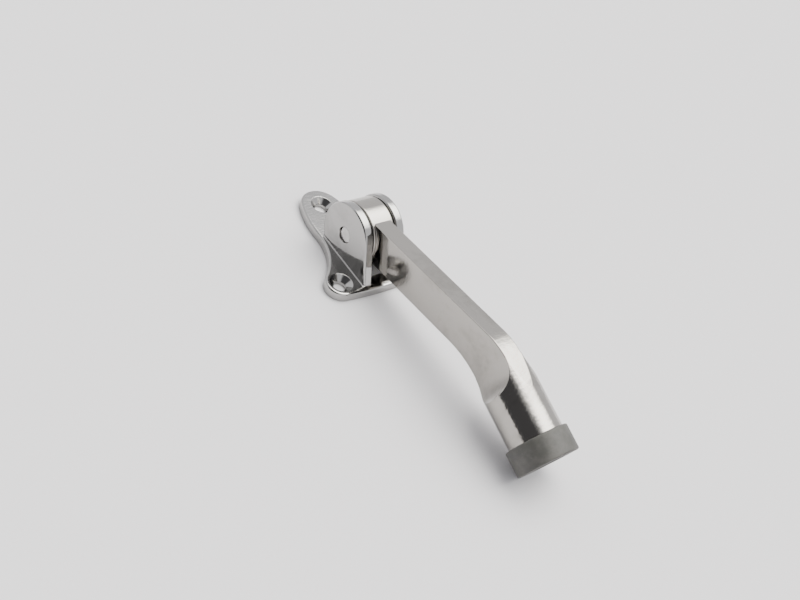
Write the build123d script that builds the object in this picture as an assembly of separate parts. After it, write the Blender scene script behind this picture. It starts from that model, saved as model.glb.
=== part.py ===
from build123d import *
import os
from math import cos, radians, sin, sqrt

# Kick-down door holder: a cast three-lobe bracket carries a lever arm on a cross pin.
# The arm is a flat bar that bends and swells into a round end with a rubber foot.
# Millimetres. Origin: midway between the two lower screw holes, on the bracket's back plane.
# +X runs along the cross pin, +Y towards the single upper screw hole, +Z out of the door.

# ---------------------------------------------------------------- driving dimensions
# bracket plate
PLATE_THICK = 3.8
LOWER_HOLE_SPACING = 35.5
UPPER_HOLE_Y = 40.5
LOWER_LOBE_R = 6.5
LOWER_EDGE_BULGE = 1.0
UPPER_LOBE_R = 8.8
NECK_HALF = 11.4
FLARE_TOP_Y = 26.0
SHOULDER_Y = 28.0
SCREW_HOLE_R = 2.5
COUNTERSINK_R = 4.8
PLATE_EDGE_R = 0.9

# bracket ears
PIN_Y = 14.5
PIN_Z = 13.8
EAR_R = 13.4
EAR_IN = 6.0
EAR_OUT = 10.0
EAR_HEEL_Y = -6.0
EAR_TOE_Y = 23.5
EAR_EDGE_R = 0.9
EAR_ROOT_R = 0.5
WINDOW_LOW_Y = -1.0
WINDOW_HIGH_Y = 25.5
WINDOW_CORNER_R = 2.0

# cross pin and what turns on it
PIN_R = 3.4
PIN_RECESS = 0.7
PIN_CHAMFER = 0.4
RUNNING_GAP = 0.05
BUSH_R = 4.9
BUSH_LENGTH = 4.6
WASHER_R = 9.0
SPRING_WASHER_R = 7.0
RIGHT_WASHER_THICK = 0.5
SPRING_SHEET = 0.25
SPRING_BOW = 0.25

# lever arm, drawn straight along its bar and then tilted up about the cross pin
EYE_R = 13.0
EYE_HALF = 4.8
EYE_RIM_HALF = 5.4
EYE_RECESS_R = 9.4
BAR_HALF = 4.0
BAR_TOP = 10.1
BAR_BOTTOM = -6.2
ARM_TILT = 7.5
BEND = 25.0
STRIP_RUNOUT = 3.4
END_R = 10.8
END_ALONG = 110.0
END_UP = -13.5
RAMP_START = 29.5
RAMP_R = 12.5
TOP_BEND_R = 28.0
BOTTOM_BEND_R = 40.0
EYE_EDGE_R = 0.6
BAR_EDGE_R = 0.4

# foot and its screw
FOOT_R = 12.3
FOOT_THICK = 10.0
FOOT_EDGE_R = 0.6
SPIGOT_R = 6.5
SPIGOT_LENGTH = 7.0
SOCKET_SPARE = 0.5
RECESS_R = 6.6
RECESS_DEPTH = 4.6
FOOT_WASHER_R = 6.4
FOOT_WASHER_THICK = 1.2
FOOT_SCREW_R = 2.5
FOOT_SCREW_LENGTH = 24.0
FOOT_SCREW_SPARE = 1.5
FOOT_SCREW_HEAD_R = 4.4
FOOT_SCREW_HEAD_H = 2.6
HEX_KEY_ACROSS = 4.0
HEX_KEY_DEPTH = 1.8

# ---------------------------------------------------------------- places worked out from them
PIN_CENTRE = Vector(0, PIN_Y, PIN_Z)
LOWER_HOLE_X = LOWER_HOLE_SPACING / 2
EYE_GAP = EAR_IN - EYE_HALF
LEFT_WASHER_THICK = EYE_GAP - 2 * RUNNING_GAP
ARM_FRAME = Pos(PIN_CENTRE) * Rot(-ARM_TILT, 0, 0)
# the round end's own frame: its +Z runs out of the foot, its +Y stays on the door side of the bend
END_FRAME = ARM_FRAME * Pos(0, -END_ALONG, END_UP) * Rot(90 + BEND, 0, 0)


def cross_cylinder(radius, x_low, x_high):
    """A cylinder about the cross pin's axis, from x_low to x_high."""
    middle = Pos((x_low + x_high) / 2, PIN_Y, PIN_Z)
    return middle * Rot(0, 90, 0) * Cylinder(radius, x_high - x_low)


def cross_ring(outer, inner, x_low, x_high):
    """A ring about the cross pin's axis."""
    return cross_cylinder(outer, x_low, x_high) - cross_cylinder(inner, x_low - 1, x_high + 1)


def end_cylinder(radius, low, high):
    """A cylinder on the round end's axis; zero is the face that the foot sits on."""
    return END_FRAME * Pos(0, 0, (low + high) / 2) * Cylinder(radius, high - low)


def save(node, solid):
    """Write one sub-part under its node name."""
    solid.label = node
    export_step(solid, f"parts/{node}.step")
    return solid


# ---------------------------------------------------------------- bracket
def touching_arc_radius(inset, rise, lobe_r):
    """Radius of the arc that leaves an upright edge and meets a lobe, set in and up from that edge."""
    return (inset**2 + rise**2 - lobe_r**2) / (2 * (inset + lobe_r))


def between(centre, start, end):
    """The middle of the arc about a centre from one point to another."""
    radius = (start - centre).length
    return centre + ((start - centre) + (end - centre)).normalized() * radius


def plate_outline():
    """Three lobes: a slow lower edge, concave flares above it and convex shoulders to the upper lobe."""
    lowest = Vector(0, -LOWER_LOBE_R - LOWER_EDGE_BULGE)
    lobe = Vector(LOWER_HOLE_X, 0)
    bulge_up = (LOWER_HOLE_X**2 - LOWER_EDGE_BULGE**2) / (2 * LOWER_EDGE_BULGE)
    lobe_start = lobe + (lobe - Vector(0, bulge_up)).normalized() * LOWER_LOBE_R
    lobe_side = lobe + Vector(LOWER_LOBE_R, 0)

    neck_low = Vector(NECK_HALF, FLARE_TOP_Y)
    flare_r = touching_arc_radius(LOWER_HOLE_X - NECK_HALF, FLARE_TOP_Y, LOWER_LOBE_R)
    flare = neck_low + Vector(flare_r, 0)
    lobe_end = lobe + (flare - lobe).normalized() * LOWER_LOBE_R

    neck_high = Vector(NECK_HALF, SHOULDER_Y)
    upper = Vector(0, UPPER_HOLE_Y)
    upper_tip = upper + Vector(0, UPPER_LOBE_R)
    shoulder_r = -touching_arc_radius(-NECK_HALF, UPPER_HOLE_Y - SHOULDER_Y, UPPER_LOBE_R)
    shoulder = neck_high - Vector(shoulder_r, 0)
    upper_start = upper + (upper - shoulder).normalized() * UPPER_LOBE_R

    with BuildSketch() as outline:
        with BuildLine():
            ThreePointArc(lowest, between(Vector(0, bulge_up), lowest, lobe_start), lobe_start)
            ThreePointArc(lobe_start, lobe_side, lobe_end)
            ThreePointArc(lobe_end, between(flare, lobe_end, neck_low), neck_low)
            Line(neck_low, neck_high)
            ThreePointArc(neck_high, between(shoulder, neck_high, upper_start), upper_start)
            ThreePointArc(upper_start, between(upper, upper_start, upper_tip), upper_tip)
            Line(upper_tip, lowest)
        make_face()
        mirror(about=Plane.YZ)
    return outline.sketch


def ear_outline():
    """A round head on the cross pin, with a straight heel down to the plate's lower edge."""
    base = PLATE_THICK / 2
    head = Pos(PIN_Y, PIN_Z) * Circle(EAR_R)
    foot = Polyline((EAR_HEEL_Y, base), (EAR_TOE_Y, base))
    return make_hull([*head.edges(), *foot.edges()])


def screw_hole(x, y):
    """A clearance hole with a right-angled countersink in the plate's front face."""
    through = Pos(x, y, PLATE_THICK / 2) * Cylinder(SCREW_HOLE_R, PLATE_THICK + 2)
    sink_depth = COUNTERSINK_R - SCREW_HOLE_R
    sink = Pos(x, y, PLATE_THICK - sink_depth / 2) * Cone(SCREW_HOLE_R, COUNTERSINK_R, sink_depth)
    return through + sink


def bracket():
    plate = extrude(plate_outline(), PLATE_THICK)
    plate = fillet(plate.edges().group_by(Axis.Z)[-1], PLATE_EDGE_R)
    ears = Part()
    for x_low in (-EAR_OUT, EAR_IN):
        ear = extrude(Plane.YZ.offset(x_low) * ear_outline(), EAR_OUT - EAR_IN)
        rims = [e for e in ear.edges() if e.center().Z > PLATE_THICK and abs(e.tangent_at(0.5).X) < 0.5]
        ears += fillet(rims, EAR_EDGE_R)
    body = plate + ears
    roots = [
        edge
        for edge in body.edges().filter_by(Axis.Y)
        if abs(edge.center().Z - PLATE_THICK) < 0.01 and abs(abs(edge.center().X) - EAR_OUT) < 0.01
    ]
    body = fillet(roots, EAR_ROOT_R)
    window_length = WINDOW_HIGH_Y - WINDOW_LOW_Y
    window = extrude(RectangleRounded(2 * EAR_IN, window_length, WINDOW_CORNER_R), PLATE_THICK + 2)
    body -= Pos(0, WINDOW_LOW_Y + window_length / 2, -1) * window
    for x, y in ((-LOWER_HOLE_X, 0), (LOWER_HOLE_X, 0), (0, UPPER_HOLE_Y)):
        body -= screw_hole(x, y)
    return body - cross_cylinder(PIN_R, -EAR_OUT - 1, EAR_OUT + 1)


# ---------------------------------------------------------------- cross pin, bushes and washers
def pivot_pin():
    half = EAR_OUT - PIN_RECESS
    pin = cross_cylinder(PIN_R, -half, half)
    return chamfer(pin.edges(), PIN_CHAMFER)


def bush(side):
    """A plain bush pressed into one end of the arm's eye."""
    ends = sorted((side * EYE_HALF, side * (EYE_HALF - BUSH_LENGTH)))
    return cross_ring(BUSH_R, PIN_R + RUNNING_GAP, *ends)


def left_washer():
    x_high = -EYE_HALF - RUNNING_GAP
    return cross_ring(WASHER_R, PIN_R + RUNNING_GAP, x_high - LEFT_WASHER_THICK, x_high)


def right_washer():
    x_low = EYE_HALF + RUNNING_GAP
    return cross_ring(WASHER_R, PIN_R + RUNNING_GAP, x_low, x_low + RIGHT_WASHER_THICK)


def spring_washer():
    """A ring of thin sheet bowed one way, so that its edges press the washer and its middle the ear."""
    x_low = EYE_HALF + 2 * RUNNING_GAP + RIGHT_WASHER_THICK
    bow_r = (SPRING_WASHER_R**2 + SPRING_BOW**2) / (2 * SPRING_BOW)
    centre_x = x_low + SPRING_BOW - bow_r
    sheet = Circle(bow_r + SPRING_SHEET) - Circle(bow_r)
    band = extrude(Plane.XZ.offset(-PIN_Y) * (Pos(centre_x, PIN_Z) * sheet), WASHER_R, both=True)
    return band & cross_ring(SPRING_WASHER_R, PIN_R + RUNNING_GAP, x_low - 1, EAR_IN)


# ---------------------------------------------------------------- lever arm
def end_point(back, up):
    """A point of the side view, given back from the foot along the round end's axis and up from it."""
    turn = radians(BEND)
    along = END_ALONG - back * cos(turn) + up * sin(turn)
    rise = END_UP + back * sin(turn) + up * cos(turn)
    return Vector(-along, rise)


def crossing(point, fall_angle, level):
    """Where the line through a point, falling outwards at an angle, meets the given level."""
    run = (level - point.Y) / sin(radians(fall_angle)) * cos(radians(fall_angle))
    return Vector(point.X + run, level)


def side_outline():
    """The arm seen along the cross pin: a straight bar, then the round end at the bend angle."""
    chord = sqrt(END_R**2 - BAR_HALF**2)
    runout = (END_R - chord) / sin(radians(STRIP_RUNOUT)) * cos(radians(STRIP_RUNOUT))
    top_corner = crossing(end_point(RAMP_START, chord), BEND - STRIP_RUNOUT, BAR_TOP)
    bottom_corner = crossing(end_point(RAMP_START, -chord), BEND + STRIP_RUNOUT, BAR_BOTTOM)
    corners = [
        Vector(0, BAR_TOP),
        top_corner,
        end_point(RAMP_START - runout, END_R),
        end_point(0, END_R),
        end_point(0, -END_R),
        end_point(RAMP_START - runout, -END_R),
        bottom_corner,
        Vector(0, BAR_BOTTOM),
    ]
    bends = [0, TOP_BEND_R, 0, 0, 0, 0, BOTTOM_BEND_R, 0]
    return make_face(FilletPolyline(*corners, radius=bends, close=True).edges())


def arm_slab(half_width):
    """The arm's side view, given a width and tilted to where the arm rests."""
    return ARM_FRAME * extrude(Plane.YZ * side_outline(), half_width, both=True)


def ramp_hollow(side):
    """The hollow of one radius that leads from the bar's flat flank out to the round end."""
    return END_FRAME * Pos(side * (BAR_HALF + RAMP_R), 0, -RAMP_START) * Rot(90, 0, 0) * Cylinder(RAMP_R, 4 * END_R)


def lever_arm():
    eye = cross_cylinder(EYE_R, -EYE_RIM_HALF, EYE_RIM_HALF)
    eye = fillet(eye.edges().filter_by(GeomType.CIRCLE), EYE_EDGE_R)
    eye -= cross_ring(EYE_RECESS_R, BUSH_R, EYE_HALF, EYE_RIM_HALF + 1)
    eye -= cross_ring(EYE_RECESS_R, BUSH_R, -EYE_RIM_HALF - 1, -EYE_HALF)
    round_end = arm_slab(END_R) & end_cylinder(END_R, -RAMP_START, 0)
    round_end = round_end - ramp_hollow(1) - ramp_hollow(-1)
    bar = arm_slab(BAR_HALF)
    bar = fillet([e for e in bar.edges() if abs(abs(e.center().X) - BAR_HALF) < 0.01], BAR_EDGE_R)
    arm = bar - end_cylinder(3 * END_R, -RAMP_START, 3 * END_R)
    arm = arm + round_end + eye
    arm -= cross_cylinder(BUSH_R, -EYE_RIM_HALF - 1, EYE_RIM_HALF + 1)
    arm -= end_cylinder(SPIGOT_R, -SPIGOT_LENGTH - SOCKET_SPARE, 1)
    screw_tip = FOOT_THICK - RECESS_DEPTH + FOOT_WASHER_THICK - FOOT_SCREW_LENGTH
    return arm - end_cylinder(FOOT_SCREW_R, screw_tip - FOOT_SCREW_SPARE, 0)


# ---------------------------------------------------------------- foot
def rubber_foot():
    pad = end_cylinder(FOOT_R, 0, FOOT_THICK)
    pad = fillet(pad.edges().filter_by(GeomType.CIRCLE), FOOT_EDGE_R)
    foot = pad + end_cylinder(SPIGOT_R, -SPIGOT_LENGTH, FOOT_THICK / 2)
    foot -= end_cylinder(RECESS_R, FOOT_THICK - RECESS_DEPTH, FOOT_THICK + 1)
    return foot - end_cylinder(FOOT_SCREW_R, -SPIGOT_LENGTH - 1, FOOT_THICK)


def foot_washer():
    seat = FOOT_THICK - RECESS_DEPTH
    ring = end_cylinder(FOOT_WASHER_R, seat, seat + FOOT_WASHER_THICK)
    return ring - end_cylinder(FOOT_SCREW_R, seat - 1, seat + FOOT_WASHER_THICK + 1)


def foot_screw():
    seat = FOOT_THICK - RECESS_DEPTH + FOOT_WASHER_THICK
    crown = seat + FOOT_SCREW_HEAD_H
    head = end_cylinder(FOOT_SCREW_HEAD_R, seat, crown)
    head = fillet(head.edges().filter_by(GeomType.CIRCLE).sort_by(Axis.Y)[0], FOOT_SCREW_HEAD_H / 2)
    hexagon = RegularPolygon(HEX_KEY_ACROSS / 2, 6, major_radius=False)
    key = END_FRAME * Pos(0, 0, crown - HEX_KEY_DEPTH) * extrude(hexagon, HEX_KEY_DEPTH + 1)
    return head + end_cylinder(FOOT_SCREW_R, seat - FOOT_SCREW_LENGTH, seat) - key


os.makedirs("parts", exist_ok=True)
save("bracket", bracket())
save("pivot_pin", pivot_pin())
save("bush_left", bush(-1))
save("bush_right", bush(1))
save("friction_washer_left", left_washer())
save("friction_washer_right", right_washer())
save("spring_washer", spring_washer())
save("lever_arm", lever_arm())
save("rubber_foot", rubber_foot())
save("foot_washer", foot_washer())
save("foot_screw", foot_screw())
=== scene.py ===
# %% [markdown]
# # A kick-down door holder in polished stainless steel
#
# The holder is a cast bracket with two ears, a cross pin, a bent lever arm and a rubber foot.
# The shapes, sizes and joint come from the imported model, so this file gives them their surfaces
# and sets up the floor, the light and the camera. Nothing on the holder repeats or follows a
# path, so no piece needs Geometry Nodes: what makes it look real is how its metal is finished.

# %% Load the fixed frame
import math

import bpy
from mathutils import Matrix, Vector


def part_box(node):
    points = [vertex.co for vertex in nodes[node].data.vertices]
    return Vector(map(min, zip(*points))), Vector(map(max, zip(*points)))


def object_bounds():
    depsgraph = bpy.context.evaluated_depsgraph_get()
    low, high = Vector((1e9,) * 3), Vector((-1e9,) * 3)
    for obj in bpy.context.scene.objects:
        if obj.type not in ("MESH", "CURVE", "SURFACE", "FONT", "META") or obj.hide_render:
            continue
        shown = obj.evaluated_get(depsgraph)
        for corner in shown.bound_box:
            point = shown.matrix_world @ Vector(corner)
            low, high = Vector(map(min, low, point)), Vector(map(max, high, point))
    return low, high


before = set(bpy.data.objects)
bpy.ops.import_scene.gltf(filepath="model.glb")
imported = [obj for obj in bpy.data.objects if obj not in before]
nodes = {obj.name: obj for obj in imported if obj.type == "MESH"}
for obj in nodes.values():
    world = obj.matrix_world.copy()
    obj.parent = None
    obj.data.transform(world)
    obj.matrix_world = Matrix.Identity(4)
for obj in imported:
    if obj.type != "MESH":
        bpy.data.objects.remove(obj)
cad_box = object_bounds()

# %% [markdown]
# ## Camera
#
# The view looks down on the left ear from over the lower screw holes, so the arm comes towards the
# viewer and down to the right. A camera is easiest to read as an aim point, a distance and three
# angles. The roll leans the picture, because a hand-held view of a small thing is rarely level.

# %% Camera
AIM = Vector((-0.0019, -0.0177, 0.0066))
DISTANCE = 0.45
AZIMUTH = math.radians(-145.16)
ELEVATION = math.radians(41.94)
ROLL = math.radians(26.33)
LENS = 51.75

towards = Vector((
    math.cos(ELEVATION) * math.cos(AZIMUTH),
    math.cos(ELEVATION) * math.sin(AZIMUTH),
    math.sin(ELEVATION),
))
camera_data = bpy.data.cameras.new("camera")
camera_data.lens = LENS
camera_data.sensor_width = 36.0
camera_data.clip_start = 0.01
camera = bpy.data.objects.new("camera", camera_data)
bpy.context.collection.objects.link(camera)
level = towards.to_track_quat("Z", "Y").to_matrix().to_4x4()
stand = Matrix.Translation(AIM + towards * DISTANCE)
camera.matrix_world = stand @ level @ Matrix.Rotation(ROLL, 4, "Z")
bpy.context.scene.camera = camera
print("camera at", [round(v, 4) for v in camera.location])

# %% [markdown]
# ## Helpers for node trees
#
# Every surface here is built from a few dozen shader nodes, and a few small helpers keep that
# readable. `add` makes a node and fills or links its inputs. `maths`, `remap` and `mix_colour` are
# the three steps used most. `start_group` opens a node group with named sockets, and `place` puts
# a finished group in a material.


# %% Node helpers
def add(tree, kind, settings=None, **values):
    """Add a node, set its own settings, then fill or link its inputs by name."""
    node = tree.nodes.new("ShaderNode" + kind)
    for name, value in (settings or {}).items():
        setattr(node, name, value)
    for name, value in values.items():
        by_number = name[1:].isdigit()
        socket = node.inputs[int(name[1:]) if by_number else name.replace("_", " ")]
        if isinstance(value, bpy.types.NodeSocket):
            tree.links.new(value, socket)
        else:
            socket.default_value = value
    return node


def maths(tree, operation, a, b=0.0):
    """One step of arithmetic on two values or sockets."""
    return add(tree, "Math", {"operation": operation}, i0=a, i1=b).outputs[0]


def remap(tree, value, low, high, to_low=0.0, to_high=1.0):
    """Stretch a range smoothly on to another one."""
    settings = {"interpolation_type": "SMOOTHSTEP"}
    return add(tree, "MapRange", settings, Value=value, From_Min=low, From_Max=high,
               To_Min=to_low, To_Max=to_high).outputs[0]


def mix_colour(tree, factor, first, second):
    """Blend two colours by a mask."""
    node = add(tree, "Mix", {"data_type": "RGBA"}, i0=factor, i6=first, i7=second)
    return node.outputs[2]


def start_group(name, inputs, outputs):
    """A new node group, its input node and its output node."""
    group = bpy.data.node_groups.new(name, "ShaderNodeTree")
    for label, kind, value in inputs:
        socket = group.interface.new_socket(label, in_out="INPUT", socket_type=kind)
        if value is not None:
            socket.default_value = value
    for label, kind in outputs:
        group.interface.new_socket(label, in_out="OUTPUT", socket_type=kind)
    return group, group.nodes.new("NodeGroupInput"), group.nodes.new("NodeGroupOutput")


def place(tree, group, **values):
    """Put a group in a material with its own values."""
    return add(tree, "Group", {"node_tree": group}, **values)


FLOAT, VECTOR = "NodeSocketFloat", "NodeSocketVector"
print("node helpers ready")

# %% [markdown]
# ## Edges
#
# A cast part is tumbled and polished before it is packed, so no edge on it stays sharp. A line of
# light, or of dark room, runs along each one. The Bevel node gives that line without touching the
# shape: it rounds the shading near an edge. How far the rounded direction leans away from the flat
# face also says where the edge is, which is a ready mask for wear.

# %% Edge group
edges, start, end = start_group(
    "soft edges",
    [("Radius", FLOAT, 0.0004)],
    [("Normal", VECTOR), ("Wear", FLOAT)],
)
rounded = add(edges, "Bevel", {"samples": 6}, Radius=start.outputs["Radius"])
flat = edges.nodes.new("ShaderNodeNewGeometry")
lean = add(edges, "VectorMath", {"operation": "DOT_PRODUCT"},
           i0=rounded.outputs[0], i1=flat.outputs["Normal"])
UNWORN, FULLY_WORN = 0.995, 0.90
wear = remap(edges, lean.outputs["Value"], UNWORN, FULLY_WORN)
edges.links.new(rounded.outputs[0], end.inputs["Normal"])
edges.links.new(wear, end.inputs["Wear"])
print(edges.name, "has", len(edges.nodes), "nodes")

# %% [markdown]
# ## Polishing marks
#
# Polished steel isn't a perfect mirror. A belt leaves a slow waviness that bends reflections, and
# finer lines that fray the border between dark and bright. Fingers leave a haze in patches, and
# handling leaves a few hairline scratches. One group makes all four from noise, stretched for the
# lines and the scratches, so the bracket and the arm can each have them at their own scale.

# %% Polish group
polish, start, end = start_group(
    "polishing marks",
    [("Vector", VECTOR, None), ("Wave", FLOAT, 90.0), ("Lines", FLOAT, 900.0)],
    [("Height", FLOAT), ("Haze", FLOAT), ("Scratch", FLOAT)],
)
on_part = start.outputs["Vector"]
wave = add(polish, "TexNoise", Vector=on_part, Scale=start.outputs["Wave"], Detail=1.0, Roughness=0.4)
across = add(polish, "Mapping", Vector=on_part, Scale=(0.35, 1.0, 0.35))
lines = add(polish, "TexNoise", Vector=across.outputs[0], Scale=start.outputs["Lines"], Detail=3.0,
            Roughness=0.55)
WAVE_SHARE = 2.5
waviness = maths(polish, "MULTIPLY", wave.outputs[0], WAVE_SHARE)
height = maths(polish, "ADD", waviness, lines.outputs[0])

patches = add(polish, "TexNoise", Vector=on_part, Scale=55.0, Detail=4.0, Roughness=0.6, Distortion=0.4)
fine = add(polish, "TexNoise", Vector=on_part, Scale=420.0, Detail=2.0)
PATCH_RANGE = (0.46, 0.66)
FINE_RANGE = (0.25, 0.7)
FINE_FLOOR = 0.5
patch_mask = remap(polish, patches.outputs[0], *PATCH_RANGE)
fine_mask = remap(polish, fine.outputs[0], *FINE_RANGE, FINE_FLOOR, 1.0)
haze = maths(polish, "MULTIPLY", patch_mask, fine_mask)

hair = add(polish, "Mapping", Vector=on_part, Rotation=(0.2, 0.1, 0.7), Scale=(1.0, 0.05, 1.0))
hairs = add(polish, "TexNoise", Vector=hair.outputs[0], Scale=700.0, Detail=2.0, Distortion=0.2)
HAIR_RANGE = (0.70, 0.76)
scratch = remap(polish, hairs.outputs[0], *HAIR_RANGE)
polish.links.new(height, end.inputs["Height"])
polish.links.new(haze, end.inputs["Haze"])
polish.links.new(scratch, end.inputs["Scratch"])
print(polish.name, "has", len(polish.nodes), "nodes")

# %% [markdown]
# ## Lathe rings
#
# The pin, the foot's screw and the steel washers have rings round their axis, as a tool leaves them.
# The distance from the axis, fed to a one-dimensional noise, gives rings of uneven width, which
# look more like turning than an even wave does.

# %% Ring group
rings, start, end = start_group(
    "lathe rings",
    [("Vector", VECTOR, None), ("Pitch", FLOAT, 4000.0)],
    [("Height", FLOAT), ("Tone", FLOAT)],
)
DROP_X = (0.0, 1.0, 1.0)
off_axis = add(rings, "VectorMath", {"operation": "MULTIPLY"}, i0=start.outputs["Vector"], i1=DROP_X)
distance = add(rings, "VectorMath", {"operation": "LENGTH"}, i0=off_axis.outputs[0])
feed = maths(rings, "MULTIPLY", distance.outputs["Value"], start.outputs["Pitch"])
cut = add(rings, "TexNoise", {"noise_dimensions": "1D"}, W=feed, Scale=1.0, Detail=1.0)
tarnish = add(rings, "TexNoise", Vector=start.outputs["Vector"], Scale=260.0, Detail=3.0)
rings.links.new(cut.outputs[0], end.inputs["Height"])
rings.links.new(tarnish.outputs[0], end.inputs["Tone"])
print(rings.name, "has", len(rings.nodes), "nodes")

# %% [markdown]
# ## Moulded grain
#
# Rubber and nylon come out of a mould with a fine dull grain, and then gather dust. The group
# gives the grain as a height and the dust as a mask with soft, cloudy borders.

# %% Grain group
grain, start, end = start_group(
    "moulded grain",
    [("Vector", VECTOR, None), ("Size", FLOAT, 1600.0), ("Dust", FLOAT, 0.5)],
    [("Height", FLOAT), ("Dust", FLOAT), ("Shade", FLOAT)],
)
on_part = start.outputs["Vector"]
pits = add(grain, "TexNoise", Vector=on_part, Scale=start.outputs["Size"], Detail=3.0, Roughness=0.6)
clouds = add(grain, "TexNoise", Vector=on_part, Scale=120.0, Detail=5.0, Roughness=0.65)
specks = add(grain, "TexVoronoi", Vector=on_part, Scale=700.0)
SPECK_RANGE = (0.16, 0.08)
CLOUD_RANGE = (0.42, 0.72)
speck_mask = remap(grain, specks.outputs["Distance"], *SPECK_RANGE)
cloud_mask = remap(grain, clouds.outputs[0], *CLOUD_RANGE)
speck_dust = maths(grain, "MULTIPLY", speck_mask, cloud_mask)
all_dust = maths(grain, "ADD", cloud_mask, speck_dust)
dust = maths(grain, "MULTIPLY", all_dust, start.outputs["Dust"])
grain.links.new(pits.outputs[0], end.inputs["Height"])
grain.links.new(dust, end.inputs["Dust"])
grain.links.new(clouds.outputs[0], end.inputs["Shade"])
print(grain.name, "has", len(grain.nodes), "nodes")


# %% [markdown]
# ## Polished steel
#
# Metallic is 1 and the colour says how much light comes back. Bare stainless steel returns more
# than half of it, a little warmer than white. The colour here is set lower, because the pale room
# on every side would wash the metal out. The finish is in the roughness: low on clean metal, higher
# in the haze, along the hairline scratches and on worn edges. The bump is given in metres. On the
# arm the marks are kept shallow along the flat bar, where reflections should stay clean, and deepen
# towards the round end.

# %% Polished steel
ARM_TILT = math.radians(-7.5)
WORN_STEEL = (0.56, 0.55, 0.53, 1)
LINES_PER_METRE = 900.0
CLEAN_ROUGHNESS = 0.10
HAZE_ROUGHNESS = 0.09
SCRATCH_ROUGHNESS = 0.10
WEAR_ROUGHNESS = 0.08
WEAR_COLOUR_SHARE = 0.35
BAR_SHARE = 0.3


def blank(name):
    """A material with its shader and its object coordinates at hand."""
    material = bpy.data.materials.new(name)
    material.use_nodes = True
    tree = material.node_tree
    where = tree.nodes.new("ShaderNodeTexCoord").outputs["Object"]
    return material, tree, tree.nodes["Principled BSDF"], where


def wire(tree, shader, **sockets):
    """Link sockets to the shader's inputs by name."""
    for name, socket in sockets.items():
        tree.links.new(socket, shader.inputs[name.replace("_", " ")])


def polished_steel(name, clean, hazy, turn, wave, depth, edge, calm=None):
    """Steel with polishing marks. Between the two distances in calm, they deepen to full depth."""
    material, tree, shader, where = blank(name)
    shader.inputs["Metallic"].default_value = 1.0
    along = add(tree, "Mapping", {"vector_type": "TEXTURE"}, Vector=where, Rotation=(turn, 0.0, 0.0))
    marks = place(tree, polish, Vector=along.outputs[0], Wave=wave, Lines=LINES_PER_METRE)
    soft = place(tree, edges, Radius=edge)
    tint = mix_colour(tree, marks.outputs["Haze"], (*clean, 1), (*hazy, 1))
    worn = maths(tree, "MULTIPLY", soft.outputs["Wear"], WEAR_COLOUR_SHARE)
    colour = mix_colour(tree, worn, tint, WORN_STEEL)
    hazed = maths(tree, "MULTIPLY", marks.outputs["Haze"], HAZE_ROUGHNESS)
    scratched = maths(tree, "MULTIPLY", marks.outputs["Scratch"], SCRATCH_ROUGHNESS)
    rubbed = maths(tree, "MULTIPLY", soft.outputs["Wear"], WEAR_ROUGHNESS)
    dull = maths(tree, "ADD", maths(tree, "ADD", hazed, scratched), rubbed)
    roughness = maths(tree, "ADD", dull, CLEAN_ROUGHNESS)
    height = marks.outputs["Height"]
    if calm:
        along_y = add(tree, "SeparateXYZ", Vector=along.outputs[0]).outputs["Y"]
        height = maths(tree, "MULTIPLY", height, remap(tree, along_y, *calm, BAR_SHARE, 1.0))
    bump = add(tree, "Bump", Strength=1.0, Distance=depth, Height=height, Normal=soft.outputs["Normal"])
    wire(tree, shader, Base_Color=colour, Roughness=roughness, Normal=bump.outputs[0])
    return material


bracket_steel = polished_steel(
    "bracket_steel", clean=(0.38, 0.374, 0.366), hazy=(0.31, 0.305, 0.297),
    turn=0.0, wave=110.0, depth=0.00004, edge=0.0004,
)
arm_steel = polished_steel(
    "arm_steel", clean=(0.375, 0.358, 0.333), hazy=(0.30, 0.285, 0.262),
    turn=ARM_TILT, wave=80.0, depth=0.00011, edge=0.0004, calm=(-0.062, -0.082),
)
nodes["bracket"].material_slots[0].material = bracket_steel
nodes["lever_arm"].material_slots[0].material = arm_steel
print("polished:", bracket_steel.name, arm_steel.name)

# %% [markdown]
# ## Turned steel
#
# The rings need to know where each piece's axis is. A Mapping node of the Texture kind moves the
# coordinates the other way, so its location and rotation are simply those of the axis: the cross
# pin's for the pin and the spring washer, and the round end's for the foot's washer and screw.

# %% Turned steel
pin_low, pin_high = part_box("pivot_pin")
pin_centre = (pin_low + pin_high) / 2
washer_low, washer_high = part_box("foot_washer")
washer_centre = (washer_low + washer_high) / 2
ROUND_END_FALL = math.radians(17.5)
RINGS_PER_METRE = 4200.0
TURNED_EDGE = 0.00025
CUT_DEPTH = 0.000006
RUBBED_BRIGHT = (0.78, 0.77, 0.75, 1)
TARNISH_RANGE = (0.35, 0.7)
TARNISH_ROUGHNESS = 0.15


def turned_steel(name, centre, rotation, colour, worn, roughness):
    """Steel with rings round the axis through centre, and edges rubbed bright."""
    material, tree, shader, where = blank(name)
    shader.inputs["Metallic"].default_value = 1.0
    axis = add(tree, "Mapping", {"vector_type": "TEXTURE"}, Vector=where, Location=centre,
               Rotation=rotation)
    cut_marks = place(tree, rings, Vector=axis.outputs[0], Pitch=RINGS_PER_METRE)
    soft = place(tree, edges, Radius=TURNED_EDGE)
    tarnished = remap(tree, cut_marks.outputs["Tone"], *TARNISH_RANGE)
    tone = mix_colour(tree, tarnished, (*colour, 1), (*worn, 1))
    bright = mix_colour(tree, soft.outputs["Wear"], tone, RUBBED_BRIGHT)
    dull = maths(tree, "MULTIPLY", cut_marks.outputs["Tone"], TARNISH_ROUGHNESS)
    rough = maths(tree, "ADD", dull, roughness)
    bump = add(tree, "Bump", Strength=1.0, Distance=CUT_DEPTH, Height=cut_marks.outputs["Height"],
               Normal=soft.outputs["Normal"])
    wire(tree, shader, Base_Color=bright, Roughness=rough, Normal=bump.outputs[0])
    return material


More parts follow.
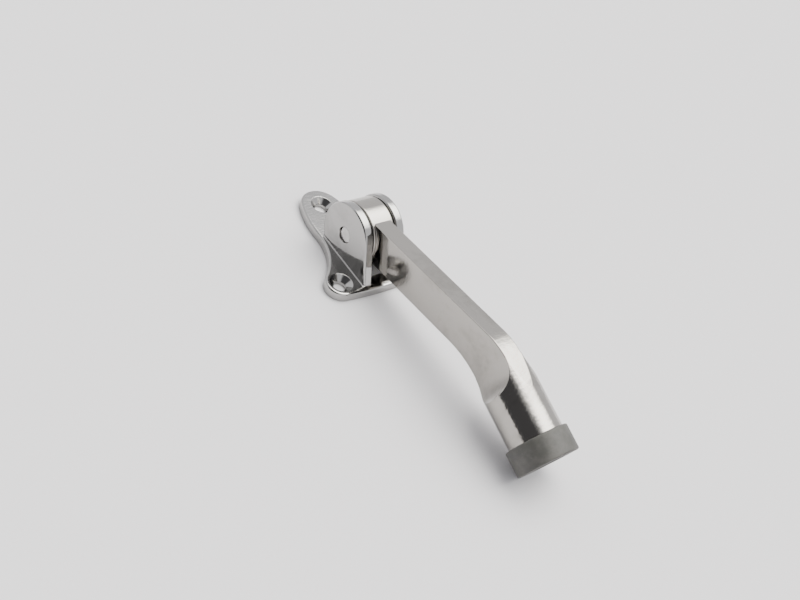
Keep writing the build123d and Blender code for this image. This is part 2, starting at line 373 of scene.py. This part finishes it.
pin_steel = turned_steel(
    "pin_steel", pin_centre, rotation=(0, 0, 0),
    colour=(0.62, 0.61, 0.60), worn=(0.50, 0.49, 0.48), roughness=0.20,
)
fixing_steel = turned_steel(
    "fixing_steel", washer_centre, rotation=(0, ROUND_END_FALL, -math.pi / 2),
    colour=(0.60, 0.59, 0.58), worn=(0.47, 0.46, 0.45), roughness=0.24,
)
spring_steel = turned_steel(
    "spring_steel", pin_centre, rotation=(0, 0, 0),
    colour=(0.45, 0.44, 0.42), worn=(0.30, 0.28, 0.25), roughness=0.28,
)
nodes["pivot_pin"].material_slots[0].material = pin_steel
nodes["spring_washer"].material_slots[0].material = spring_steel
for name in ("foot_washer", "foot_screw"):
    nodes[name].material_slots[0].material = fixing_steel
print("turned:", pin_steel.name, spring_steel.name, fixing_steel.name)

# %% [markdown]
# ## Rubber and nylon
#
# The foot is dense grey-black rubber with the dull grain of its mould, paler where dust has settled
# and where its edges rub. The bushes are natural nylon and the friction washers black nylon, which
# is smoother, so it keeps a soft sheen.


# %% Moulded materials
DARKER, PALER = 0.82, 1.18
EDGE_DUST = 0.5
DUST_ROUGHNESS = 0.25


def moulded(name, colour, dusty, roughness, size, dust, height, edge):
    """Rubber or nylon with a mould's grain, cloudy shading, and dust on its faces and edges."""
    material, tree, shader, where = blank(name)
    surface = place(tree, grain, Vector=where, Size=size, Dust=dust)
    soft = place(tree, edges, Radius=edge)
    low = (*[DARKER * c for c in colour], 1)
    high = (*[PALER * c for c in colour], 1)
    shade = mix_colour(tree, surface.outputs["Shade"], low, high)
    dusted = mix_colour(tree, surface.outputs["Dust"], shade, (*dusty, 1))
    edge_mask = maths(tree, "MULTIPLY", soft.outputs["Wear"], EDGE_DUST)
    rubbed = mix_colour(tree, edge_mask, dusted, (*dusty, 1))
    dull = maths(tree, "MULTIPLY", surface.outputs["Dust"], DUST_ROUGHNESS)
    rough = maths(tree, "ADD", dull, roughness)
    bump = add(tree, "Bump", Strength=1.0, Distance=height, Height=surface.outputs["Height"],
               Normal=soft.outputs["Normal"])
    wire(tree, shader, Base_Color=rubbed, Roughness=rough, Normal=bump.outputs[0])
    return material


foot_rubber = moulded(
    "foot_rubber", (0.055, 0.054, 0.049), dusty=(0.15, 0.145, 0.132),
    roughness=0.52, size=1500.0, dust=0.35, height=0.00004, edge=0.0006,
)
bush_nylon = moulded(
    "bush_nylon", (0.80, 0.79, 0.74), dusty=(0.70, 0.68, 0.62),
    roughness=0.38, size=2500.0, dust=0.2, height=0.00001, edge=0.0003,
)
washer_nylon = moulded(
    "washer_nylon", (0.030, 0.030, 0.031), dusty=(0.12, 0.12, 0.12),
    roughness=0.42, size=2500.0, dust=0.3, height=0.00001, edge=0.0002,
)
nodes["rubber_foot"].material_slots[0].material = foot_rubber
for side in ("left", "right"):
    nodes["bush_" + side].material_slots[0].material = bush_nylon
    nodes["friction_washer_" + side].material_slots[0].material = washer_nylon
print("moulded:", foot_rubber.name, bush_nylon.name, washer_nylon.name)


# %% [markdown]
# ## Floor
#
# A plain pale sheet, wide enough that its edge is outside the main view. Polished metal mirrors the
# floor in every side face, so the floor's tone sets the tone of the arm's flank as well.

# %% Floor
FLOOR_SIZE = 8
FLOOR_GAP = 0.0001
PAPER_LOW = (0.72, 0.712, 0.73, 1)
PAPER_HIGH = (0.75, 0.742, 0.758, 1)


def floor_material():
    """Matt, with the faint mottle of paper."""
    material, tree, shader, where = blank("pale_floor")
    paper = add(tree, "TexNoise", Vector=where, Scale=900.0, Detail=3.0)
    colour = mix_colour(tree, paper.outputs[0], PAPER_LOW, PAPER_HIGH)
    shader.inputs["Roughness"].default_value = 0.75
    shader.inputs["Specular IOR Level"].default_value = 0.2
    wire(tree, shader, Base_Color=colour)
    return material


bpy.ops.mesh.primitive_plane_add(size=FLOOR_SIZE, location=(0, 0, cad_box[0][2] - FLOOR_GAP))
floor = bpy.context.object
floor.name = "floor"
floor.data.materials.append(floor_material())
print("floor at", round(floor.location.z, 4))

# %% [markdown]
# ## Room and light
#
# Metal shows its surroundings more than its own colour, so the room is designed first. It is evenly
# bright, with one dark side to the holder's left: the dark side draws the black band down the
# round end and makes the cylinder read as round. Overhead is the glow of a large soft light. It is
# painted into the room rather than made as a lamp, because its border has to fade: a lamp's hard
# edge would draw a rectangle on every curved surface.

# %% Room
ROOM = (1.30, 1.30, 1.33, 1)
DARK = (0.13, 0.13, 0.138, 1)
GLOW = (9.6, 9.45, 9.05, 1)


def heading(azimuth, elevation):
    """A unit direction from two angles in degrees."""
    turn, rise = math.radians(azimuth), math.radians(elevation)
    level = math.cos(rise)
    return Vector((level * math.cos(turn), level * math.sin(turn), math.sin(rise)))


def spot_mask(tree, direction, centre, inner, outer):
    """One inside the inner angle from a direction, fading to nothing at the outer angle."""
    facing = add(tree, "VectorMath", {"operation": "DOT_PRODUCT"}, i0=direction, i1=centre).outputs["Value"]
    return remap(tree, facing, math.cos(math.radians(outer)), math.cos(math.radians(inner)))


world = bpy.data.worlds.new("studio")
bpy.context.scene.world = world
world.use_nodes = True
sky = world.node_tree
direction = sky.nodes.new("ShaderNodeTexCoord").outputs["Generated"]
dark_side = spot_mask(sky, direction, heading(190, 34), inner=27, outer=50)
glow = spot_mask(sky, direction, heading(2, 68), inner=10, outer=37)
shaded = mix_colour(sky, dark_side, ROOM, DARK)
sky.links.new(mix_colour(sky, glow, shaded, GLOW), sky.nodes["Background"].inputs["Color"])
sky.nodes["Background"].inputs["Strength"].default_value = 1.0
print("room with", len(sky.nodes), "nodes")


# %% [markdown]
# ## Fill light
#
# One weak area lamp adds a little light from over the far side, across from the camera. It is given
# by how bright it looks, and is dimmer than the room behind it, so it draws no strong shape in the
# metal.


# %% Fill light
def panel(name, azimuth, elevation, distance, size, radiance):
    """A square soft light that faces the middle of the holder, given how bright it looks."""
    light = bpy.data.lights.new(name, "AREA")
    light.size = size
    light.energy = radiance * math.pi * size * size
    lamp = bpy.data.objects.new(name, light)
    bpy.context.collection.objects.link(lamp)
    outward = heading(azimuth, elevation)
    facing = outward.to_track_quat("Z", "Y").to_matrix().to_4x4()
    lamp.matrix_world = Matrix.Translation(AIM + outward * distance) @ facing
    print(name, round(light.energy, 2), "W")


panel("fill_panel", azimuth=30, elevation=62, distance=1.6, size=0.9, radiance=0.5)
